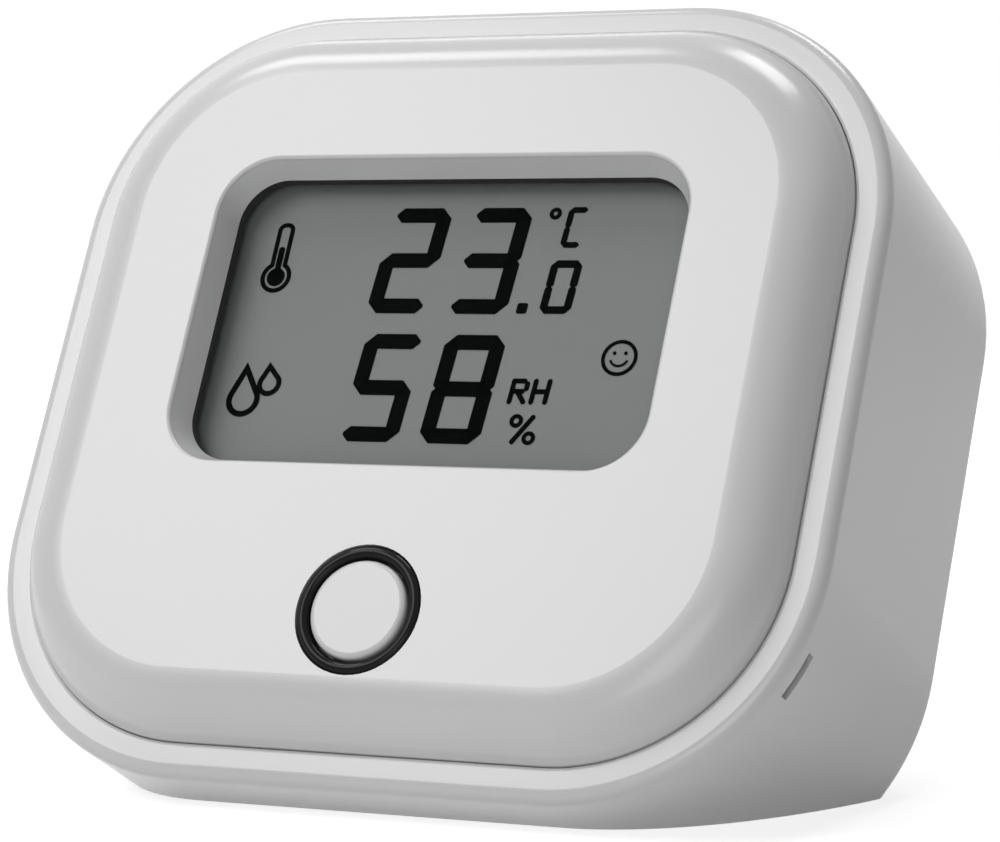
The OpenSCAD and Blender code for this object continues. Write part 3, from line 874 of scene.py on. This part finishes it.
@dataclass(frozen=True)
class Numeral:
    """A digit or letter of seven bars.

    Attributes:
        text: The digit.
        left: Left edge at its foot.
        low: Height of its foot.
        width: Width.
        height: Height.
        stroke: Width of its bars.
    """

    text: str
    left: float
    low: float
    width: float
    height: float
    stroke: float

    def build(self) -> List[Piece]:
        """Models the digit out of its bars."""
        w, h, stroke = self.width, self.height, self.stroke
        half = (h - stroke) / 2
        flat = w - stroke - BAR_GAP
        upright = half - BAR_GAP
        left, right = stroke / 2, w - stroke / 2
        lower, upper = h * 0.5 - half / 2, h * 0.5 + half / 2
        places: Dict[Bar, Tuple[float, float, float, float]] = {
            Bar.TOP: (w / 2, h - stroke / 2, flat, 0.0),
            Bar.MIDDLE: (w / 2, h / 2, flat, 0.0),
            Bar.BOTTOM: (w / 2, stroke / 2, flat, 0.0),
            Bar.UPPER_LEFT: (left, upper, upright, 90.0),
            Bar.UPPER_RIGHT: (right, upper, upright, 90.0),
            Bar.LOWER_LEFT: (left, lower, upright, 90.0),
            Bar.LOWER_RIGHT: (right, lower, upright, 90.0),
        }
        made = []
        for name in DIGIT_BARS[self.text]:
            u, v, length, turn = places[name]
            bar = Bench.bar(length + 2 * BAR_REACH * stroke, stroke, INK_DEPTH, stroke * BAR_CUT)
            made.append(lean(Bench.shift(bar, u, v, turn), self.left, self.low))
        return made


@dataclass(frozen=True)
class Stroke:
    """A straight stroke.

    Attributes:
        start: First end.
        end: Second end.
        width: Width.
        cut: How far its corners are cut back, as a share of its width.
        foot: Height from which it leans, or None where it stands straight.
    """

    start: Point
    end: Point
    width: float
    cut: float = 0.3
    foot: Optional[float] = None

    def build(self) -> List[Piece]:
        """Models the stroke."""
        (u0, v0), (u1, v1) = self.start, self.end
        length = math.hypot(u1 - u0, v1 - v0) + self.width
        bar = Bench.bar(length, self.width, INK_DEPTH, self.width * self.cut)
        turn = math.degrees(math.atan2(v1 - v0, u1 - u0))
        Bench.shift(bar, (u0 + u1) / 2, (v0 + v1) / 2, turn)
        return [bar if self.foot is None else lean(bar, -self.foot * SLANT, 0.0)]


@dataclass(frozen=True)
class Letters:
    """The two letters of relative humidity.

    Attributes:
        left: Left edges of the letters.
        low: Foot of the letters.
        high: Top of the letters.
        width: Width of a letter.
        stroke: Width of the strokes.
        flat: Length of the first letter's flats, as a share of its width.
        turn: What its round takes of the height at each end.
        leg: Where its leg begins, as a share of its width.
    """

    left: Tuple[float, float]
    low: float
    high: float
    width: float
    stroke: float
    flat: float = 0.75
    turn: float = 0.25
    leg: float = 0.4

    def build(self) -> List[Piece]:
        """Models the letters out of leaning strokes."""
        low, high = self.low, self.high
        middle = (low + high) / 2
        first, second = self.left
        first_end, second_end = first + self.width, second + self.width
        flat = first + self.width * self.flat
        lines = [
            ((first, low), (first, high)),
            ((first, high), (flat, high)),
            ((first, middle), (flat, middle)),
            ((first_end, high - self.turn), (first_end, middle + self.turn)),
            ((first + self.width * self.leg, middle), (first_end, low)),
            ((second, low), (second, high)),
            ((second_end, low), (second_end, high)),
            ((second, middle), (second_end, middle)),
        ]
        strokes = [Stroke(start, end, self.stroke, foot=low) for start, end in lines]
        return [part for stroke in strokes for part in stroke.build()]


@dataclass(frozen=True)
class Spot:
    """A filled spot.

    Attributes:
        middle: Its middle.
        radius: Its radius.
    """

    middle: Point
    radius: float

    def build(self) -> List[Piece]:
        """Models the spot."""
        Bench.disc(self.radius, SPOT_SIDES)
        return [Bench.shift(Bench.raise_flat(INK_DEPTH), *self.middle)]


@dataclass(frozen=True)
class Ring:
    """A ring.

    Attributes:
        middle: Its middle.
        radius: Its outer radius.
        stroke: Width of its stroke.
    """

    middle: Point
    radius: float
    stroke: float

    def build(self) -> List[Piece]:
        """Models the ring."""
        Bench.disc(self.radius)
        return [Bench.shift(Bench.outline(self.stroke, INK_DEPTH), *self.middle)]


@dataclass(frozen=True)
class Smile(Ring):
    """The curved mouth of the comfort sign: the lower part of a ring.

    Attributes:
        top: Height up to which the ring is kept, as a share of its radius.
    """

    top: float = -0.3

    def build(self) -> List[Piece]:
        """Models the mouth."""
        Bench.disc(self.radius, FINE_SIDES)
        Bench.hollow(self.stroke)
        Bench.pick("FACE", lambda place: place.y > self.radius * self.top)
        bpy.ops.mesh.delete(type="FACE")
        return [Bench.shift(Bench.raise_flat(INK_DEPTH), *self.middle)]


@dataclass(frozen=True)
class Drop(Ring):
    """The outline of a drop: a disc whose top is drawn out to a point.

    Attributes:
        tip: Height of its tip above the middle.
        left: How far the tip lies to the left.
    """

    tip: float
    left: float

    def build(self) -> List[Piece]:
        """Models the drop."""
        Bench.disc(self.radius, FINE_SIDES)
        touch = self.radius ** 2 / self.tip
        peak = self.radius * PEAK
        Bench.pick("VERT", lambda place: touch < place.y < peak)
        bpy.ops.mesh.dissolve_verts()
        Bench.pick("VERT", lambda place: place.y > peak)
        bpy.ops.transform.translate(value=(-self.left, self.tip - self.radius, 0.0))
        return [Bench.shift(Bench.outline(self.stroke, INK_DEPTH), *self.middle)]


@dataclass(frozen=True)
class Thermometer(Ring):
    """The temperature sign: a bulb and stem in outline with a filled column.

    Attributes:
        stem: Half the width of the stem.
        rise: Height of the stem's end above the middle of the bulb.
        end: Rounding of the stem's end, as a share of its half width.
        end_steps: Steps of that rounding.
        column: Width and height of the filled column.
        fill: Radius of the filled bulb.
    """

    stem: float
    rise: float
    end: float = 0.9
    end_steps: int = 8
    column: Point = (0.56, 2.575)
    fill: float = 0.86

    def build(self) -> List[Piece]:
        """Models the outline, the column and the filled bulb."""
        Bench.disc(self.radius, FINE_SIDES)
        Bench.pick("VERT", lambda place: place.y > 0 and abs(place.x) < self.stem * WITHIN)
        bpy.ops.mesh.dissolve_verts()
        shoulder = math.sqrt(self.radius ** 2 - self.stem ** 2)
        Bench.pick("EDGE", lambda place: place.y > shoulder * NEAR_TOP and abs(place.x) < CROSSING)
        bpy.ops.mesh.extrude_region_move(TRANSFORM_OT_translate={"value": (0.0, self.rise - shoulder, 0.0)})
        bpy.ops.mesh.select_mode(type="FACE")
        bpy.ops.mesh.select_all(action="SELECT")
        bpy.ops.mesh.dissolve_faces()
        Bench.pick("VERT", lambda place: place.y > self.rise * NEAR_TOP)
        bpy.ops.mesh.bevel(offset=self.stem * self.end, segments=self.end_steps, affect="VERTICES")
        outline = Bench.shift(Bench.outline(self.stroke, INK_DEPTH), *self.middle)
        u, v = self.middle
        width, height = self.column
        column = Stroke((u, v), (u, v + height), width)
        return [outline, *column.build(), *Spot(self.middle, self.fill).build()]


# Sub-assemblies


@dataclass
class DisplayPrint:
    """Bars and signs of the liquid crystal display, drawn on its front film.

    Attributes:
        lift: Gap between the film and the dark layer.
        digit_size: Width, height and bar width of a large digit.
        digit_left: Left edges of the two large digits in a row.
        rows: Piece, digits and foot of each row.
        signs: The marks beside the digits.
    """

    lift: float = 0.01
    digit_size: Tuple[float, float, float] = (5.6, 9.8, 1.36)
    digit_left: Tuple[float, float] = (-7.8, -0.27)
    rows: Tuple[Tuple[str, str, float], ...] = (
        ("display_temperature_digits", "23", 1.4),
        ("display_humidity_digits", "58", -10.32),
    )
    signs: Tuple[Any, ...] = (
        # The degree, its unit, the tenths and their dot
        Ring((8.02, 10.66), 0.55, 0.36),
        Numeral("C", 8.98, 7.5, 1.9, 3.75, 0.53),
        Numeral("0", 8.3, 1.48, 2.85, 4.87, 0.68),
        Stroke((6.7, 1.95), (6.7, 1.95), 0.95, cut=0.12 / 0.95, foot=1.47),
        # Relative humidity in hundredths
        Letters((7.33, 9.3), -6.45, -4.6, 1.25, 0.43),
        Ring((8.35, -8.15), 0.6, 0.36),
        Ring((9.75, -9.65), 0.6, 0.36),
        Stroke((8.3, -10.0), (9.8, -7.8), 0.42),
        # The comfort sign
        Ring((16.42, -2.4), 1.6, 0.31),
        Smile((16.42, -2.3), 0.92, 0.2),
        Spot((15.92, -1.98), 0.16),
        Spot((16.92, -1.98), 0.16),
        # The signs of temperature and humidity
        Thermometer((-17.28, 4.7), 1.47, 0.4, stem=0.79, rise=5.15),
        Drop((-17.66, -6.75), 1.6, 0.52, tip=3.43, left=0.36),
        Drop((-15.48, -5.25), 1.15, 0.46, tip=1.98, left=0.36),
    )

    def build(self, face: FaceFrame, wardrobe: Wardrobe) -> List[Piece]:
        """Models the whole print and puts it on the display's front film.

        Args:
            face: Frame of the face.
            wardrobe: Where finishes come from.

        Returns:
            The pieces: upper digits, lower digits and signs.
        """
        low, high = face.box("lcd_front_polariser")
        middle = (low + high) / 2
        origin = Vector((middle.x, middle.y, high.z + self.lift))
        groups: Dict[str, Sequence[Any]] = {}
        for name, text, foot in self.rows:
            places = zip(text, self.digit_left)
            groups[name] = [Numeral(letter, left, foot, *self.digit_size) for letter, left in places]
        groups["display_signs"] = self.signs
        made = []
        for name, marks in groups.items():
            piece = Bench.join(name, [part for mark in marks for part in mark.build()])
            piece.data.transform(face.place(origin))
            wardrobe.dress(piece, INK)
            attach(piece, Body.HOUSING.value)
            made.append(piece)
        return made


@dataclass
class CellSprings:
    """The two tapered contact springs, as smooth round wire in place of their coarse solids.

    Attributes:
        wire_r: Radius of the wire.
        wire_detail: Steps of the wire's round section.
        smooth_angle: Edges flatter than this are shaded smooth, in degrees.
        turns: Turns of each spring.
        steps: Points along each turn.
        wide_r: Radius of the wide end's centre line.
        narrow_r: Radius of the narrow end's centre line.
    """

    wire_r: float = 0.3
    wire_detail: int = 4
    smooth_angle: float = 50.0
    turns: int = 3
    steps: int = 32
    wide_r: float = 3.8
    narrow_r: float = 2.3

    def build(self, face: FaceFrame, wardrobe: Wardrobe) -> List[Piece]:
        """Winds both springs where their nodes are.

        Args:
            face: Frame of the face.
            wardrobe: Where finishes come from.

        Returns:
            The springs.
        """
        made = []
        for node, way in (("cell_spring_upper", 1.0), ("cell_spring_lower", -1.0)):
            piece = self.wind(node, way, face)
            wardrobe.dress(piece, FINISHES[Slot.SPRING.value])
            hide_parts(node)
            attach(piece, Body.HOUSING.value)
            made.append(piece)
        return made

    def wind(self, node: str, way: float, face: FaceFrame) -> Piece:
        """Winds one spring as a curve and turns it into a mesh.

        Args:
            node: Node that the spring stands for.
            way: 1 where its wide end lies at the left, -1 at the right.
            face: Frame of the face.

        Returns:
            The spring.
        """
        Bench.clear()
        low, high = face.box(node)
        length = high.x - low.x - 2 * self.wire_r
        start = low.x + self.wire_r if way > 0 else high.x - self.wire_r
        axis = face.middle(node.replace("cell_spring", "battery"))
        curve = bpy.data.curves.new(node + "_wire", "CURVE")
        curve.dimensions = "3D"
        curve.bevel_depth = self.wire_r
        curve.bevel_resolution = self.wire_detail
        curve.use_fill_caps = True
        line = curve.splines.new("POLY")
        count = self.turns * self.steps
        line.points.add(count)
        for index in range(count + 1):
            share = index / count
            radius = self.wide_r + (self.narrow_r - self.wide_r) * share
            angle = 2 * math.pi * self.turns * share
            line.points[index].co = (
                start + way * length * share,
                axis.y + way * radius * math.cos(angle),
                axis.z + radius * math.sin(angle),
                1.0,
            )
        piece = bpy.data.objects.new(node + "_wire", curve)
        bpy.context.scene.collection.objects.link(piece)
        piece.select_set(True)
        bpy.context.view_layer.objects.active = piece
        bpy.ops.object.convert(target="MESH")
        piece = bpy.context.object
        piece.data.transform(face.place(Vector()))
        bpy.ops.object.shade_smooth_by_angle(angle=math.radians(self.smooth_angle))
        return piece


# Stage


@dataclass(frozen=True)
class PhotoCamera:
    """The camera at the photograph's angle.

    Attributes:
        place: Place of the camera, in millimetres.
        azimuth: Turn to the right of the front, in degrees.
        elevation: Height above level, in degrees.
        roll: Turn about the line of sight, in degrees.
        focal_px: Focal length in pixels of the photograph.
        clip: Nearest and farthest distance that it shows, in metres.
    """

    place: Tuple[float, float, float] = (141.767, -287.635, 51.194)
    azimuth: float = 26.18
    elevation: float = 3.70
    roll: float = -0.49
    focal_px: float = 3752.9
    clip: Tuple[float, float] = (0.01, 20.0)

    def build(self) -> Piece:
        """Adds the camera and makes it the scene's own."""
        a, e, r = (math.radians(angle) for angle in (self.azimuth, self.elevation, self.roll))
        back = Vector((math.sin(a) * math.cos(e), -math.cos(a) * math.cos(e), math.sin(e)))
        level = Vector((math.cos(a), math.sin(a), 0.0))
        rise = back.cross(level)
        right = level * math.cos(r) + rise * math.sin(r)
        up = back.cross(right)
        data = bpy.data.cameras.new("photo_camera")
        data.sensor_width = SENSOR_WIDTH_MM
        data.sensor_fit = "HORIZONTAL"
        data.lens = self.focal_px * SENSOR_WIDTH_MM / PHOTO_WIDTH_PX
        data.clip_start, data.clip_end = self.clip
        camera = bpy.data.objects.new("photo_camera", data)
        bpy.context.scene.collection.objects.link(camera)
        turn = Matrix((right, up, back)).transposed().to_4x4()
        camera.matrix_world = Matrix.Translation(Vector(self.place) * MM) @ turn
        bpy.context.scene.camera = camera
        return camera


@dataclass(frozen=True)
class SoftBox:
    """A square lamp that faces the object.

    Attributes:
        name: Name of the lamp.
        towards: Direction from the object to the lamp.
        distance: Distance from the object, in metres.
        size: Width and height, in metres.
        power: Power in watts.
    """

    name: str
    towards: Tuple[float, float, float]
    distance: float
    size: Tuple[float, float]
    power: float

    def build(self, aim: Vector) -> Piece:
        """Adds the lamp.

        Args:
            aim: Point that it faces.

        Returns:
            The lamp.
        """
        data = bpy.data.lights.new(self.name, "AREA")
        data.shape = "RECTANGLE"
        data.size, data.size_y = self.size
        data.energy = self.power
        lamp = bpy.data.objects.new(self.name, data)
        bpy.context.scene.collection.objects.link(lamp)
        way = Vector(self.towards).normalized()
        lamp.location = aim + way * self.distance
        lamp.rotation_mode = "QUATERNION"
        lamp.rotation_quaternion = way.to_track_quat("Z", "Y")
        return lamp


@dataclass(frozen=True)
class Studio:
    """Plain pale floor, even surroundings and soft lamps.

    Attributes:
        ambient: Brightness of the surroundings on the object.
        floor_size: Width of the floor, in metres.
        floor_tone: Colour of the floor.
        floor_roughness: Roughness of the floor.
        floor_lift: What the floor shows the camera of its own, near and far, so that it reads as white.
        floor_reach: Distances from the object that count as near and far, in metres.
        lamps: The lamps.
    """

    ambient: float = 0.04
    floor_size: float = 6.0
    floor_tone: Colour = (0.82, 0.82, 0.82)
    floor_roughness: float = 0.9
    floor_lift: Tuple[float, float] = (0.72, 1.0)
    floor_reach: Tuple[float, float] = (0.1, 0.5)
    lamps: Tuple[SoftBox, ...] = (
        SoftBox("key_lamp", (-0.458, -0.586, 0.669), 0.6, (0.27, 0.27), 1.02),
        SoftBox("high_lamp", (-0.492, -0.087, 0.866), 0.6, (0.175, 0.175), 0.6),
        SoftBox("fill_lamp", (0.255, -0.951, 0.174), 0.6, (0.3, 0.3), 0.48),
        SoftBox("roof_lamp", (0.07, 0.29, 0.955), 0.6, (0.215, 0.235), 0.96),
        SoftBox("back_lamp", (-0.36, 0.85, 0.38), 0.7, (0.3, 0.3), 0.4),
    )

    def build(self) -> None:
        """Adds floor, surroundings and lamps."""
        scene = bpy.context.scene
        scene.view_settings.view_transform = "Standard"
        self.surroundings(scene)
        self.floor()
        low, high = CAD_BOX
        for lamp in self.lamps:
            lamp.build((low + high) / 2)

    def surroundings(self, scene: bpy.types.Scene) -> None:
        """Makes the world white to the camera, to gloss and to glass, and even on the object.

        Args:
            scene: Scene that takes the world.
        """
        world = bpy.data.worlds.new("studio")
        world.use_nodes = True
        scene.world = world
        wiring = Wiring(world.node_tree)
        background = next(node for node in world.node_tree.nodes if node.type == "BACKGROUND")
        background.inputs["Color"].default_value = WHITE
        strength = self.seen(wiring, 1.0, self.ambient)
        wiring.join(strength, 0, background, "Strength")

    @staticmethod
    def seen(wiring: Wiring, shown: float, hidden: float) -> Node:
        """Gives one value to the camera, gloss and glass, and another to all else.

        Args:
            wiring: Tree to add the nodes to.
            shown: Value for rays of the camera, gloss and glass.
            hidden: Value for other rays.

        Returns:
            The node that gives the value.
        """
        path = wiring.add("ShaderNodeLightPath")
        either = wiring.add("ShaderNodeMath", operation="MAXIMUM")
        wiring.join(path, "Is Camera Ray", either, 0)
        wiring.join(path, "Is Glossy Ray", either, 1)
        any_ray = wiring.add("ShaderNodeMath", operation="MAXIMUM")
        wiring.join(either, 0, any_ray, 0)
        wiring.join(path, "Is Transmission Ray", any_ray, 1)
        return wiring.spread(any_ray, 0, hidden, shown)

    def floor(self) -> Piece:
        """Adds the floor, which reads as white and keeps the object's shadow."""
        Bench.clear()
        bpy.ops.mesh.primitive_plane_add(size=self.floor_size, location=(0.0, 0.0, 0.0))
        floor = bpy.context.object
        floor.name = "floor"
        surface = Surface("floor")
        surface.set(Base_Color=(*self.floor_tone, 1.0), Emission_Color=WHITE)
        surface.set(Roughness=self.floor_roughness, Specular_IOR_Level=0.0)
        away = surface.on_object("ShaderNodeVectorMath", operation="LENGTH")
        rise = surface.spread(away, "Value", *self.floor_lift)
        for key, value in zip(("From Min", "From Max"), self.floor_reach):
            rise.inputs[key].default_value = value
        lift = surface.add("ShaderNodeMath", operation="MULTIPLY")
        surface.join(rise, 0, lift, 0)
        surface.join(self.seen(surface, 1.0, 0.0), 0, lift, 1)
        surface.feed(lift, 0, "Emission Strength")
        floor.data.materials.append(surface.material)
        return floor


def main() -> None:
    """Builds the stage, dresses the nodes and adds the modelled pieces."""
    logging.basicConfig(level=logging.INFO, format="%(name)s: %(message)s")
    PhotoCamera().build()
    Studio().build()
    face = FaceFrame.from_joints(frame["joints"])
    wardrobe = Wardrobe()
    wardrobe.dress_nodes()
    for assembly in (DisplayPrint(), CellSprings()):
        for piece in assembly.build(face, wardrobe):
            LOG.info("built %s with %d faces", piece.name, len(piece.data.polygons))


if __name__ == "__main__":
    main()
